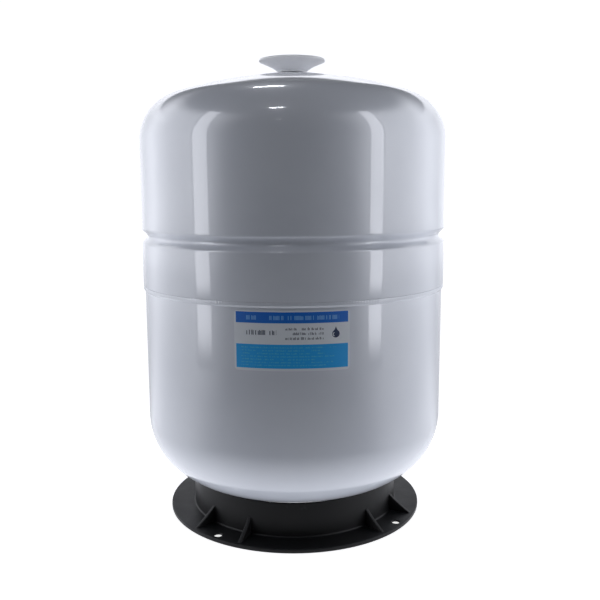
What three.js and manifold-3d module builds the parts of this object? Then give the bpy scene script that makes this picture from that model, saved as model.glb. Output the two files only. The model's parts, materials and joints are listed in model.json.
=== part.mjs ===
// Diaphragm pressure tank: two deep-drawn steel shells lapped and welded at mid-height, a rubber
// diaphragm clenched behind a rolled bead, a capped water port on top, an air valve at the back of
// the lower head and a black plastic ring stand.
// Millimetres, +Z up, label towards -Y, origin at the centre of the stand's underside.

import * as THREE from "three";
import { mergeVertices } from "three/addons/utils/BufferGeometryUtils.js";
import Module from "manifold-3d";

const wasm = await Module();
wasm.setup();

// ---- Driving dimensions ----

const ROUND_STEPS = 36; // facets round the tank and the stand
const BEAD_STEPS = 6; // facets up the rolled bead
const KNUCKLE_STEPS = 4; // facets round each part of a dished head
const CROWN_STEPS = 4;
const SMALL_STEPS = 24; // facets round the water port and its cap
const VALVE_STEPS = 16; // facets round the air valve's pieces

const SHEET = 1.0; // steel sheet of both shells
const FIT_GAP = 0.2; // clearance between nested or stacked pieces

const UPPER = { radius: 115, tangentZ: 282.6, knuckle: 35.9, crown: 262 };
const LOWER = { radius: 113.7, tangentZ: 77.4, knuckle: 51, crown: 209 };
const SKIRT_EDGE_Z = 178; // lower edge of the upper shell's skirt
const LAP = 18; // how far the lower shell reaches up inside the skirt
const WELD_HEIGHT = 2.8;
const DRILL_REACH = 10; // how far a drill runs either side of the wall that it cuts

const BEAD = { z: 214.9, halfWidth: 5.85, depth: 3.9 }; // rolled bead that clenches the diaphragm
const LINER_WALL = 1.5;
const DIAPHRAGM_WALL = 2;
const DIAPHRAGM_TANGENT_Z = 276;
const HEM_REACH = 9; // how far the diaphragm's hem reaches either side of the bead
const LEAN = { inwards: 8, height: 31 }; // above its hem the diaphragm leans in, clear of the band
const CLENCH_WALL = 1.5;
const CLENCH_REACH = 8.5;

const PORT_HOLE = 7.2; // hole in the upper shell and the liner
const NIPPLE = { radius: 6.85, bore: 3.75, topZ: 343.2, flangeRadius: 14, flangeThickness: 2.4 };
const PORT_SEAL = { circle: 10, wire: 0.85, grooveHalfWidth: 1.1, grooveDepth: 1.5 };
const LOCK_RING = { radius: 10.4, height: 1.2, bevel: 0.7 };
const CAP = { radius: 25, rim: 1.6, stem: 11, bore: 7.15, footZ: 334.6, rimZ: 342.6, topZ: 345.6 };
const CAP_FLARE = { startUp: 0.8, bellyOut: 0.9, bellyDown: 2.4, rimIn: 0.5 };

const STAND = { collar: 80.1, collarWall: 2.5, flange: 98.8, thickness: 3 };
const SCREW_HOLE = { radius: 2.75, circle: 93.3, firstAzimuth: -36.4, count: 4, sides: 12 };
const GUSSET = { offset: 12.3, thickness: 2.5, height: 15.5, footRadius: 96.5 };

const LABEL = { halfAngle: 19.1, bottomZ: 133.1, topZ: 172.5, azimuth: -0.6, thickness: 0.3 };

const VALVE = { pitch: 48, hole: 7.2, stem: 3.85, stemTip: 15, coreBore: 2.65, capRadius: 7.5 };

// ---- Shape helpers ----

const degrees = (angle) => THREE.MathUtils.degToRad(angle);
const profile = (pairs) => pairs.map(([r, z]) => new THREE.Vector2(r, z));
const closed = (pairs) => [...pairs, pairs[0]];

// Solid of revolution about +Z from pairs of radius and height; azimuth 0 faces -Y.
function turned(pairs, steps) {
  return new THREE.LatheGeometry(profile(pairs), steps).rotateX(Math.PI / 2);
}

// Points on an arc, both ends included; angles in degrees from +radius towards +height.
function arc([centreR, centreZ], radius, from, to, steps) {
  return Array.from({ length: steps + 1 }, (_, i) => {
    const angle = degrees(from + ((to - from) * i) / steps);
    return [centreR + radius * Math.cos(angle), centreZ + radius * Math.sin(angle)];
  });
}

// Wall that follows the rolled bead, from below to above; its sweep inwards is a raised cosine.
// Every nested wall takes the same steps, so they stay parallel.
function beadedWall(radius) {
  return Array.from({ length: BEAD_STEPS + 1 }, (_, i) => {
    const t = (2 * i) / BEAD_STEPS - 1;
    const share = (1 + Math.cos(Math.PI * t)) / 2;
    return [radius - BEAD.depth * share, BEAD.z + BEAD.halfWidth * t];
  });
}

// The same wall carried on straight, to a distance either side of the bead's middle.
function longBeadedWall(radius, reach) {
  return [[radius, BEAD.z - reach], ...beadedWall(radius), [radius, BEAD.z + reach]];
}

// Height of the centre of a dished head's crown, below its tangent line.
function crownCentre({ radius, tangentZ, knuckle, crown }) {
  return tangentZ - Math.sqrt((crown - knuckle) ** 2 - (radius - knuckle) ** 2);
}

// Height of a dished head's surface at a radius on its crown.
function crownHeight(head, atRadius) {
  return crownCentre(head) + Math.sqrt(head.crown ** 2 - atRadius ** 2);
}

// Dished head above its tangent line: knuckle then crown, ending at holeRadius (0 on the axis).
function dishedHead(head, holeRadius = 0) {
  const { radius, tangentZ, knuckle, crown } = head;
  const meet = THREE.MathUtils.radToDeg(Math.acos((radius - knuckle) / (crown - knuckle)));
  const end = THREE.MathUtils.radToDeg(Math.acos(holeRadius / crown));
  return [
    ...arc([radius - knuckle, tangentZ], knuckle, 0, meet, KNUCKLE_STEPS),
    ...arc([0, crownCentre(head)], crown, meet, end, CROWN_STEPS).slice(1),
  ];
}

// The same head pushed inwards by a wall thickness.
function inset(head, wall) {
  return {
    ...head,
    radius: head.radius - wall,
    knuckle: head.knuckle - wall,
    crown: head.crown - wall,
  };
}

// The lower head hangs below its tangent line, so it is the dished head turned over.
function hangingHead(head) {
  return dishedHead(head).map(([r, z]) => [r, 2 * head.tangentZ - z]);
}

// Round section of a ring, for a seal of round cord.
function cord(centreR, centreZ, radius, sides) {
  return arc([centreR, centreZ], radius, 0, 360, sides);
}

// ---- Joining and cutting ----

function solid(geometry) {
  const bare = geometry.clone();
  bare.deleteAttribute("normal");
  bare.deleteAttribute("uv");
  const merged = mergeVertices(bare, 1e-4);
  const vertProperties = merged.attributes.position.array;
  const triVerts = new Uint32Array(merged.index.array);
  return new wasm.Manifold(new wasm.Mesh({ numProp: 3, vertProperties, triVerts }));
}

function geometryOf(manifold) {
  const { vertProperties, triVerts } = manifold.getMesh();
  const geometry = new THREE.BufferGeometry();
  geometry.setAttribute("position", new THREE.BufferAttribute(vertProperties, 3));
  geometry.setIndex(new THREE.BufferAttribute(triVerts, 1));
  return geometry;
}

// Straight rod along +Z between two heights.
function rod(radius, fromZ, toZ, steps) {
  return turned([[0, fromZ], [radius, fromZ], [radius, toZ], [0, toZ]], steps);
}

// ---- Materials ----

function finish(color, roughness, metalness) {
  return () => new THREE.MeshStandardMaterial({ color, roughness, metalness });
}

const whiteEnamel = finish(0xe9ebec, 0.18, 0.1);
const whitePlastic = finish(0xf2f2ef, 0.35, 0);
const blackPlastic = finish(0x17181a, 0.5, 0);
const bluePlastic = finish(0x1d5fa8, 0.4, 0);
const naturalPlastic = finish(0xdfe3e0, 0.45, 0);
const stainless = finish(0xb9bcbe, 0.3, 1);
const mildSteel = finish(0x8d9092, 0.45, 1);
const springSteel = finish(0x9da0a3, 0.3, 1);
const brass = finish(0xc2a14d, 0.3, 1);
const blackRubber = finish(0x202122, 0.85, 0);
const labelVinyl = finish(0x1f6fae, 0.3, 0);

function piece(name, geometry, material) {
  const mesh = new THREE.Mesh(geometry, material());
  mesh.name = name;
  return mesh;
}

// ---- Tank shells ----

// The air valve stands square to the lower head's knuckle at the back, pitched below the horizontal,
// where it stays inside the tank's own circle.
const VALVE_TURN = -degrees(90 + VALVE.pitch);
const VALVE_SEAT = [
  0,
  LOWER.radius - LOWER.knuckle + LOWER.knuckle * Math.cos(degrees(VALVE.pitch)),
  LOWER.tangentZ - LOWER.knuckle * Math.sin(degrees(VALVE.pitch)),
];

function upperShell() {
  const side = (head) => [
    [head.radius, SKIRT_EDGE_Z],
    ...beadedWall(head.radius),
    ...dishedHead(head, PORT_HOLE),
  ];
  const section = [...side(UPPER), ...side(inset(UPPER, SHEET)).reverse()];
  return piece("upper_shell", turned(closed(section), ROUND_STEPS), whiteEnamel);
}

function lowerShell() {
  const topZ = SKIRT_EDGE_Z + LAP;
  const inner = inset(LOWER, SHEET);
  const outside = [...hangingHead(LOWER).reverse(), [LOWER.radius, topZ]];
  const inside = [[inner.radius, topZ], ...hangingHead(inner)];
  const bowl = solid(turned([...outside, ...inside], ROUND_STEPS));
  const drill = rod(VALVE.hole, -DRILL_REACH, DRILL_REACH, VALVE_STEPS);
  drill.rotateX(VALVE_TURN).translate(...VALVE_SEAT);
  return piece("lower_shell", geometryOf(bowl.subtract(solid(drill))), whiteEnamel);
}

// Weld metal that fills the step between the skirt's edge and the lower shell, with a rounded face.
function seamWeld() {
  const gap = FIT_GAP / 2;
  const rootR = LOWER.radius + gap;
  const topZ = SKIRT_EDGE_Z - gap;
  const acrossR = UPPER.radius - rootR;
  const face = [0, 30, 60, 90].map((angle) => [
    rootR + acrossR * Math.sin(degrees(angle)),
    topZ - WELD_HEIGHT * Math.cos(degrees(angle)),
  ]);
  const section = [[rootR, topZ], ...face];
  return piece("seam_weld", turned(closed(section), ROUND_STEPS), whiteEnamel);
}

// ---- Water chamber ----

const LINER_INSIDE = inset(UPPER, SHEET + FIT_GAP + LINER_WALL);

function liner() {
  const side = (head) => [...beadedWall(head.radius), ...dishedHead(head, PORT_HOLE)];
  const section = [...side(inset(UPPER, SHEET + FIT_GAP)), ...side(LINER_INSIDE).reverse()];
  return piece("liner", turned(closed(section), ROUND_STEPS), naturalPlastic);
}

function diaphragm() {
  const outer = { ...inset(LINER_INSIDE, FIT_GAP), tangentZ: DIAPHRAGM_TANGENT_Z };
  const side = (head) => [
    ...longBeadedWall(head.radius, HEM_REACH),
    [head.radius - LEAN.inwards, BEAD.z + HEM_REACH + LEAN.height],
    ...dishedHead(inset(head, LEAN.inwards)),
  ];
  const section = [...side(outer), ...side(inset(outer, DIAPHRAGM_WALL)).reverse()];
  return piece("diaphragm", turned(closed(section), ROUND_STEPS), blackRubber);
}

// Steel band pressed out into the bead from inside, which traps the diaphragm's hem.
function clenchRing() {
  const radius = LINER_INSIDE.radius - DIAPHRAGM_WALL - 2 * FIT_GAP;
  const outside = longBeadedWall(radius, CLENCH_REACH);
  const inside = longBeadedWall(radius - CLENCH_WALL, CLENCH_REACH).reverse();
  return piece("clench_ring", turned(closed([...outside, ...inside]), ROUND_STEPS), mildSteel);
}

// ---- Water port ----

const FLANGE_TOP_Z = crownHeight(LINER_INSIDE, NIPPLE.flangeRadius) - FIT_GAP;

function waterPort() {
  const footZ = FLANGE_TOP_Z - NIPPLE.flangeThickness;
  const grooveZ = FLANGE_TOP_Z - PORT_SEAL.grooveDepth;
  const chamfer = 0.7;
  const section = [
    [NIPPLE.bore, footZ],
    [NIPPLE.flangeRadius, footZ],
    [NIPPLE.flangeRadius, FLANGE_TOP_Z],
    [PORT_SEAL.circle + PORT_SEAL.grooveHalfWidth, FLANGE_TOP_Z],
    [PORT_SEAL.circle + PORT_SEAL.grooveHalfWidth, grooveZ],
    [PORT_SEAL.circle - PORT_SEAL.grooveHalfWidth, grooveZ],
    [PORT_SEAL.circle - PORT_SEAL.grooveHalfWidth, FLANGE_TOP_Z],
    [NIPPLE.radius, FLANGE_TOP_Z],
    [NIPPLE.radius, NIPPLE.topZ - chamfer],
    [NIPPLE.radius - chamfer, NIPPLE.topZ],
    [NIPPLE.bore, NIPPLE.topZ],
  ];
  return piece("water_port", turned(closed(section), SMALL_STEPS), stainless);
}

function portSeal() {
  const topZ = crownHeight(LINER_INSIDE, PORT_SEAL.circle) - FIT_GAP / 2;
  const section = cord(PORT_SEAL.circle, topZ - PORT_SEAL.wire, PORT_SEAL.wire, 8);
  return piece("port_o_ring", turned(section, SMALL_STEPS), blackRubber);
}

// Push-on ring that grips the nipple from outside and draws its flange up against the liner.
function portLockRing() {
  const seatZ = crownHeight(UPPER, PORT_HOLE) + FIT_GAP;
  const bore = NIPPLE.radius + FIT_GAP;
  const topZ = seatZ + LOCK_RING.height;
  const section = [
    [bore, seatZ],
    [LOCK_RING.radius, seatZ],
    [LOCK_RING.radius, topZ - LOCK_RING.bevel],
    [LOCK_RING.radius - LOCK_RING.bevel, topZ],
    [bore, topZ],
  ];
  return piece("port_lock_ring", turned(closed(section), SMALL_STEPS), stainless);
}

// Mushroom cap: a crowned disc whose underside flares down into a stem over the nipple.
function portCap() {
  const boreTopZ = NIPPLE.topZ + 2 * FIT_GAP;
  const flare = new THREE.QuadraticBezierCurve(
    new THREE.Vector2(CAP.stem, CAP.footZ + CAP_FLARE.startUp),
    new THREE.Vector2(CAP.stem + CAP_FLARE.bellyOut, CAP.rimZ - CAP_FLARE.bellyDown),
    new THREE.Vector2(CAP.radius - CAP_FLARE.rimIn, CAP.rimZ),
  );
  const flarePoints = flare.getPoints(CROWN_STEPS + 2).map((p) => [p.x, p.y]);
  const section = [
    [0, boreTopZ],
    [CAP.bore, boreTopZ],
    [CAP.bore, CAP.footZ],
    [CAP.stem, CAP.footZ],
    ...flarePoints,
    [CAP.radius, CAP.rimZ + CAP.rim / 2],
    [CAP.radius - CAP_FLARE.rimIn, CAP.rimZ + CAP.rim],
    [CAP.radius / 2, CAP.topZ - (CAP.topZ - CAP.rimZ - CAP.rim) / 4],
    [0, CAP.topZ],
  ];
  return piece("port_cap", turned(section, SMALL_STEPS), whitePlastic);
}

// ---- Stand ----

// Triangular web from the collar to the flange. Azimuth 0 faces -Y and grows towards +X.
function gusset(azimuth) {
  const rootR = STAND.collar - STAND.collarWall / 2;
  const rootZ = STAND.thickness / 2;
  const outline = new THREE.Shape(profile([
    [rootR, rootZ],
    [GUSSET.footRadius, rootZ],
    [GUSSET.footRadius, STAND.thickness],
    [STAND.collar, GUSSET.height],
    [rootR, GUSSET.height],
  ]));
  const web = new THREE.ExtrudeGeometry(outline, { depth: GUSSET.thickness, bevelEnabled: false });
  web.translate(0, 0, -GUSSET.thickness / 2).rotateX(Math.PI / 2);
  return web.rotateZ(degrees(azimuth - 90));
}

function screwDrill(azimuth) {
  const drill = rod(SCREW_HOLE.radius, -DRILL_REACH, DRILL_REACH, SCREW_HOLE.sides);
  return drill.translate(0, -SCREW_HOLE.circle, 0).rotateZ(degrees(azimuth));
}

function baseStand() {
  const innerR = STAND.collar - STAND.collarWall;
  const bevel = 0.8;
  const collarTop = (r) => {
    const across = r - (LOWER.radius - LOWER.knuckle);
    return LOWER.tangentZ - Math.sqrt(LOWER.knuckle ** 2 - across ** 2) - 2 * FIT_GAP;
  };
  const section = [
    [innerR, 0],
    [STAND.flange - bevel, 0],
    [STAND.flange, bevel],
    [STAND.flange, STAND.thickness - bevel],
    [STAND.flange - bevel, STAND.thickness],
    [STAND.collar, STAND.thickness],
    [STAND.collar, collarTop(STAND.collar)],
    [innerR, collarTop(innerR)],
  ];
  let stand = solid(turned(closed(section), ROUND_STEPS));
  for (let i = 0; i < SCREW_HOLE.count; i += 1) {
    const azimuth = SCREW_HOLE.firstAzimuth + (360 / SCREW_HOLE.count) * i;
    stand = stand.add(solid(gusset(azimuth - GUSSET.offset)));
    stand = stand.add(solid(gusset(azimuth + GUSSET.offset)));
    stand = stand.subtract(solid(screwDrill(azimuth)));
  }
  return piece("base_stand", geometryOf(stand), blackPlastic);
}

// ---- Label ----

function frontLabel() {
  const innerR = LOWER.radius + FIT_GAP;
  const outerR = innerR + LABEL.thickness;
  const from = LABEL.azimuth - 90 - LABEL.halfAngle;
  const to = LABEL.azimuth - 90 + LABEL.halfAngle;
  const steps = 12;
  const outline = [
    ...arc([0, 0], outerR, from, to, steps),
    ...arc([0, 0], innerR, to, from, steps),
  ];
  const shape = new THREE.Shape(profile(outline));
  const height = LABEL.topZ - LABEL.bottomZ;
  const sheet = new THREE.ExtrudeGeometry(shape, { depth: height, bevelEnabled: false });
  return piece("front_label", sheet.translate(0, 0, LABEL.bottomZ), labelVinyl);
}

// ---- Air valve: heights run along its axis, outwards from the lower shell's surface ----

const BOSS = { foot: -3, seat: 0.3, face: 2.8, radius: 9, bore: 4.6 };
const BODY = { foot: -5, hexFoot: 4.1, hexTop: 6.8, hexCorner: 6.95, airway: 2.2, coreSeat: 3.5 };
const BARREL = { foot: 4, top: 13.8, radius: 2.45, bore: 1.3, throat: 0.9, ledge: 8.2, lip: 13.2 };
const SEAL_GROOVE = { foot: 5, top: 7, radius: 1.9 };
const PIN = { radius: 0.65, tip: 14.8, cupFoot: 2.1, cupTop: 2.9, cupRadius: 1.7 };
const PIN_COLLAR = { foot: 12.4, top: 13, radius: 1.15 };
const SMALL_GAP = 0.1;

// Steel boss welded into the shell's hole, painted with the tank.
function valveBoss() {
  const spigot = VALVE.hole - BOSS.seat;
  const chamfer = 0.8;
  const section = [
    [BOSS.bore, BOSS.foot],
    [spigot, BOSS.foot],
    [spigot, BOSS.seat],
    [BOSS.radius, BOSS.seat],
    [BOSS.radius, BOSS.face - chamfer],
    [BOSS.radius - chamfer, BOSS.face],
    [BOSS.bore, BOSS.face],
  ];
  return piece("valve_boss", turned(closed(section), VALVE_STEPS), whiteEnamel);
}

function valveBodySeal() {
  const midZ = (BODY.hexFoot + BOSS.face) / 2;
  const wire = (BODY.hexFoot - BOSS.face - SMALL_GAP) / 2;
  const section = cord(BOSS.bore + wire + 2 * FIT_GAP, midZ, wire, 6);
  return piece("valve_body_o_ring", turned(section, VALVE_STEPS), blackRubber);
}

// Brass stem with a hexagon collar; its shank screws into the boss.
function valveBody() {
  const shank = BOSS.bore - FIT_GAP;
  const chamfer = 0.5;
  const neckZ = (BODY.hexFoot + BODY.hexTop) / 2;
  const section = [
    [BODY.airway, BODY.foot],
    [shank, BODY.foot],
    [shank, neckZ],
    [VALVE.stem, neckZ],
    [VALVE.stem, VALVE.stemTip - chamfer],
    [VALVE.stem - chamfer, VALVE.stemTip],
    [VALVE.coreBore, VALVE.stemTip],
    [VALVE.coreBore, BODY.coreSeat],
    [BODY.airway, BODY.coreSeat],
  ];
  const hexInside = (VALVE.coreBore + VALVE.stem) / 2;
  const hexSection = [
    [hexInside, BODY.hexFoot],
    [BODY.hexCorner, BODY.hexFoot],
    [BODY.hexCorner, BODY.hexTop],
    [hexInside, BODY.hexTop],
  ];
  const stem = solid(turned(closed(section), VALVE_STEPS));
  const hexagon = solid(turned(closed(hexSection), 6));
  return piece("valve_body", geometryOf(stem.add(hexagon)), brass);
}

function coreBarrel() {
  const foot = BARREL.radius - SMALL_GAP;
  const section = [
    [BARREL.throat, BARREL.foot],
    [foot, BARREL.foot],
    [foot, SEAL_GROOVE.foot],
    [SEAL_GROOVE.radius, SEAL_GROOVE.foot],
    [SEAL_GROOVE.radius, SEAL_GROOVE.top],
    [BARREL.radius, SEAL_GROOVE.top],
    [BARREL.radius, BARREL.top],
    [BARREL.throat, BARREL.top],
    [BARREL.throat, BARREL.lip],
    [BARREL.bore, BARREL.lip],
    [BARREL.bore, BARREL.ledge],
    [BARREL.throat, BARREL.ledge],
  ];
  return piece("core_barrel", turned(closed(section), VALVE_STEPS), brass);
}

// Tapered sleeve in the barrel's groove, which seals the core in the stem.
function coreSeal() {
  const bore = SEAL_GROOVE.radius + SMALL_GAP;
  const footZ = SEAL_GROOVE.foot + SMALL_GAP;
  const topZ = SEAL_GROOVE.top - SMALL_GAP;
  const taper = 0.2;
  const rim = BARREL.radius + taper / 4;
  const section = [
    [bore, footZ],
    [rim - taper, footZ],
    [rim, footZ + 2 * taper],
    [rim, topZ],
    [bore, topZ],
  ];
  return piece("core_seal", turned(closed(section), VALVE_STEPS), naturalPlastic);
}

function corePin() {
  const chamfer = 0.2;
  const section = [
    [0, PIN.cupFoot],
    [PIN.cupRadius, PIN.cupFoot],
    [PIN.cupRadius, PIN.cupTop],
    [PIN.radius, PIN.cupTop],
    [PIN.radius, PIN_COLLAR.foot],
    [PIN_COLLAR.radius, PIN_COLLAR.foot],
    [PIN_COLLAR.radius, PIN_COLLAR.top],
    [PIN.radius, PIN_COLLAR.top],
    [PIN.radius, PIN.tip - chamfer],
    [PIN.radius - chamfer, PIN.tip],
    [0, PIN.tip],
  ];
  return piece("core_pin", turned(section, VALVE_STEPS), springSteel);
}

// Rubber washer that the spring pulls up against the barrel's foot.
function pinSeal() {
  const bore = PIN.radius + SMALL_GAP;
  const rim = PIN.cupRadius + SMALL_GAP;
  const footZ = PIN.cupTop + SMALL_GAP;
  const topZ = BARREL.foot - SMALL_GAP;
  const section = [[bore, footZ], [rim, footZ], [rim, topZ], [bore, topZ]];
  return piece("core_pin_seal", turned(closed(section), VALVE_STEPS), blackRubber);
}

class Helix extends THREE.Curve {
  constructor(radius, fromZ, toZ, turns) {
    super();
    Object.assign(this, { radius, fromZ, toZ, turns });
  }

  getPoint(t, target = new THREE.Vector3()) {
    const angle = 2 * Math.PI * this.turns * t;
    const z = this.fromZ + (this.toZ - this.fromZ) * t;
    return target.set(this.radius * Math.cos(angle), this.radius * Math.sin(angle), z);
  }
}

function coreSpring() {
  const wire = 0.14;
  const turns = 5;
  const stepsPerTurn = 11;
  const footZ = BARREL.ledge + wire + SMALL_GAP;
  const topZ = PIN_COLLAR.foot - wire - SMALL_GAP;
  const path = new Helix((PIN.radius + BARREL.bore) / 2, footZ, topZ, turns);
  const outline = new THREE.Shape(profile(arc([0, 0], wire, 0, 300, 5)));
  const wound = new THREE.ExtrudeGeometry(outline, {
    steps: turns * stepsPerTurn,
    extrudePath: path,
    bevelEnabled: false,
  });
  return piece("core_spring", wound, springSteel);
}

const CAP_SEAL = { foot: VALVE.stemTip + 0.15, top: VALVE.stemTip + 0.95, radius: 3.9, bore: 1.4 };

function valveCap() {
  const bore = VALVE.stem + 1.5 * FIT_GAP;
  const footZ = BODY.hexTop + 2 * FIT_GAP;
  const boreTopZ = CAP_SEAL.top + FIT_GAP;
  const crown = 1.5;
  const chamfer = 1;
  const draft = 0.3;
  const section = [
    [0, boreTopZ],
    [bore, boreTopZ],
    [bore, footZ],
    [VALVE.capRadius, footZ],
    [VALVE.capRadius - draft, boreTopZ + crown - chamfer],
    [VALVE.capRadius - draft - chamfer, boreTopZ + crown],
    [0, boreTopZ + crown],
  ];
  return piece("valve_cap", turned(section, VALVE_STEPS), bluePlastic);
}

function valveCapSeal() {
  const section = [
    [CAP_SEAL.bore, CAP_SEAL.foot],
    [CAP_SEAL.radius, CAP_SEAL.foot],
    [CAP_SEAL.radius, CAP_SEAL.top],
    [CAP_SEAL.bore, CAP_SEAL.top],
  ];
  return piece("valve_cap_seal", turned(closed(section), VALVE_STEPS), blackRubber);
}

function airValve() {
  const group = new THREE.Group();
  group.position.set(...VALVE_SEAT);
  group.rotation.x = VALVE_TURN;
  group.add(valveBoss(), valveBodySeal(), valveBody(), coreBarrel(), coreSeal(), corePin());
  group.add(pinSeal(), coreSpring(), valveCap(), valveCapSeal());
  return group;
}

// ---- Assembly ----

const tank = new THREE.Group();
tank.add(upperShell(), lowerShell(), seamWeld());
tank.add(liner(), diaphragm(), clenchRing());
tank.add(waterPort(), portSeal(), portLockRing(), portCap());
tank.add(baseStand(), frontLabel(), airValve());

export default tank;
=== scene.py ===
"""Looks of a diaphragm pressure tank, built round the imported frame.

Metres, +Z up, label towards -Y. Every turned piece is a smooth solid of revolution that takes its
place and its main sizes from the CAD node it stands for. Two stray from their node a little: the dome
is up to 1.1 mm higher at the shoulders, and the weld reaches 1.3 mm lower.
"""

import json
import math

import bmesh
import bpy
from mathutils import Matrix, Vector
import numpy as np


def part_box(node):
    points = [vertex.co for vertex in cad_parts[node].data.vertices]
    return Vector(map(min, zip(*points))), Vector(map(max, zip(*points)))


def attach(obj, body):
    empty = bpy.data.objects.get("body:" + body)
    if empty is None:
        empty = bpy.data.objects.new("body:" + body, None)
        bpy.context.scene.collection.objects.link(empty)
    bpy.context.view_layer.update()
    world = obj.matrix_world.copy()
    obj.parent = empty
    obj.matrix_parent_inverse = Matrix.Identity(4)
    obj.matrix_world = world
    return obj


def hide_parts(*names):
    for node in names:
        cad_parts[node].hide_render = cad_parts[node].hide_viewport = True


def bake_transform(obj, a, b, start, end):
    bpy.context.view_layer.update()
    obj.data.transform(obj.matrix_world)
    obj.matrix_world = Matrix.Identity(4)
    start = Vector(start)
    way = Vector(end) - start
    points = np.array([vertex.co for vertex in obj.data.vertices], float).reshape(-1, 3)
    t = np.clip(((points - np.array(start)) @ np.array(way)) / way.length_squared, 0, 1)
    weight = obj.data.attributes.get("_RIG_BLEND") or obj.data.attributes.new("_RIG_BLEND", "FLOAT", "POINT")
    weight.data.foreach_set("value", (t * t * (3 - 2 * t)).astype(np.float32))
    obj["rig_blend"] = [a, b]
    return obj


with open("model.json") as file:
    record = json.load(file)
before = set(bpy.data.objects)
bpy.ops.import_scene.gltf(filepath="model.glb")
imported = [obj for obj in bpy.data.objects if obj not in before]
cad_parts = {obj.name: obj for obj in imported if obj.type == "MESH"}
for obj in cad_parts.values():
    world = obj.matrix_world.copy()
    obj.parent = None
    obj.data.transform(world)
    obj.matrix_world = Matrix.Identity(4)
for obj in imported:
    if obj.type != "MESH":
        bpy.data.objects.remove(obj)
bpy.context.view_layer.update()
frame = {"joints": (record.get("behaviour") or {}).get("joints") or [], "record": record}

MM = 0.001
BODIES = frame["record"]["behaviour"]["bodies"]
BODY_OF = {node: body for body, nodes in BODIES.items() for node in nodes}
SLOT_OF = {part["node"]: part["material_slot"] for part in frame["record"]["subparts"]}
JOINTS = {joint["name"]: joint for joint in frame["joints"]}


# ---- Sizes read from the frame ----


def foot(node):
    """Lowest height of a CAD node."""
    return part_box(node)[0].z


def top(node):
    """Greatest height of a CAD node."""
    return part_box(node)[1].z


def reach(node):
    """Outside radius of a CAD node turned about the tank's axis."""
    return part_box(node)[1].x


TANK_RADIUS = reach("upper_shell")
LOWER_RADIUS = reach("lower_shell")
SHEET = 1.0 * MM
GAP = 0.2 * MM
# The CAD dome has a 35.9 mm knuckle and a 262 mm crown, and ends at the same height.
UPPER_HEAD = {"knuckle": 36 * MM, "crown": 279.3 * MM}
LOWER_HEAD = {"knuckle": 51 * MM, "crown": 209 * MM}
PORT_HOLE = 7.2 * MM
BEAD_Z = (foot("clench_ring") + top("clench_ring")) / 2
BEAD_HALF = 5.85 * MM
BEAD_DEPTH = 3.9 * MM
ROUND_STEPS = 288
HEAD_STEPS = 28


# ---- Outlines: lists of (radius, height) ----

ON_AXIS = 1e-9


def arc(centre, radius, start, end, steps):
    """Points on an arc, angles in radians from outwards towards up."""
    angles = [start + (end - start) * i / steps for i in range(steps + 1)]
    return [(centre[0] + radius * math.cos(a), centre[1] + radius * math.sin(a)) for a in angles]


def crown_rise(radius, knuckle, crown, at=0.0):
    """Height of a dished head's crown above its tangent line, at a radius."""
    return math.sqrt(crown**2 - at**2) - math.sqrt((crown - knuckle) ** 2 - (radius - knuckle) ** 2)


def dished(radius, tangent, knuckle, crown, way=1, hole=0.0):
    """Dished head from its tangent line to a central hole; way is 1 for up and -1 for down."""
    meet = math.acos((radius - knuckle) / (crown - knuckle))
    end = math.acos(hole / crown)
    centre = crown_rise(radius, knuckle, crown) - crown
    head = arc((radius - knuckle, 0), knuckle, 0, meet, HEAD_STEPS)
    head += arc((0, centre), crown, meet, end, HEAD_STEPS)[1:]
    return [(r, tangent + way * z) for r, z in head]


def inset(head, wall):
    """A head's knuckle and crown radii, pushed inwards by a wall."""
    return {"knuckle": head["knuckle"] - wall, "crown": head["crown"] - wall}


def beaded(radius, steps=32):
    """Wall along the rolled bead, upwards; the bead's sweep inwards is a raised cosine."""
    steps_across = [2 * i / steps - 1 for i in range(steps + 1)]
    return [
        (radius - BEAD_DEPTH * (1 + math.cos(math.pi * t)) / 2, BEAD_Z + BEAD_HALF * t)
        for t in steps_across
    ]


def softened(outline, radius, steps=4):
    """The outline with its sharp corners rounded. One that starts and ends on the axis stays open."""
    is_open = outline[0][0] < ON_AXIS and outline[-1][0] < ON_AXIS
    least_turn = math.radians(25)
    most_of_edge = 0.45
    points = [Vector(p) for p in outline]
    result = []
    for i, corner in enumerate(points):
        before = points[i - 1] - corner
        after = points[(i + 1) % len(points)] - corner
        turn = math.pi - before.angle(after, math.pi)
        if turn < least_turn or (is_open and i in (0, len(points) - 1)):
            result.append(tuple(corner))
            continue
        room = most_of_edge * min(before.length, after.length)
        back = min(radius * math.tan(turn / 2), room)
        start = corner + before.normalized() * back
        end = corner + after.normalized() * back
        for step in range(steps + 1):
            t = step / steps
            point = start * (1 - t) ** 2 + corner * (2 * t * (1 - t)) + end * t**2
            result.append(tuple(point))
    return result


# ---- Meshes ----


def lathe(name, outline, steps=ROUND_STEPS, swell=None):
    """Solid of revolution about +Z. swell(radius, angle, height) gives a point's changed radius."""
    mesh_data = bmesh.new()
    rings = []
    for r, z in outline:
        count = 1 if r < ON_AXIS else steps
        ring = []
        for i in range(count):
            angle = 2 * math.pi * i / steps
            out = swell(r, angle, z) if swell and count > 1 else r
            ring.append(mesh_data.verts.new((out * math.sin(angle), -out * math.cos(angle), z)))
        rings.append(ring)
    is_closed = len(rings[0]) > 1
    for here, there in zip(rings, rings[1:] + (rings[:1] if is_closed else [])):
        for i in range(steps):
            loop = [here[i % len(here)], here[(i + 1) % len(here)]]
            loop += [there[(i + 1) % len(there)], there[i % len(there)]]
            corners = list(dict.fromkeys(loop))
            if len(corners) > 2:
                mesh_data.faces.new(corners)
    return finished(name, mesh_data)


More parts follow.
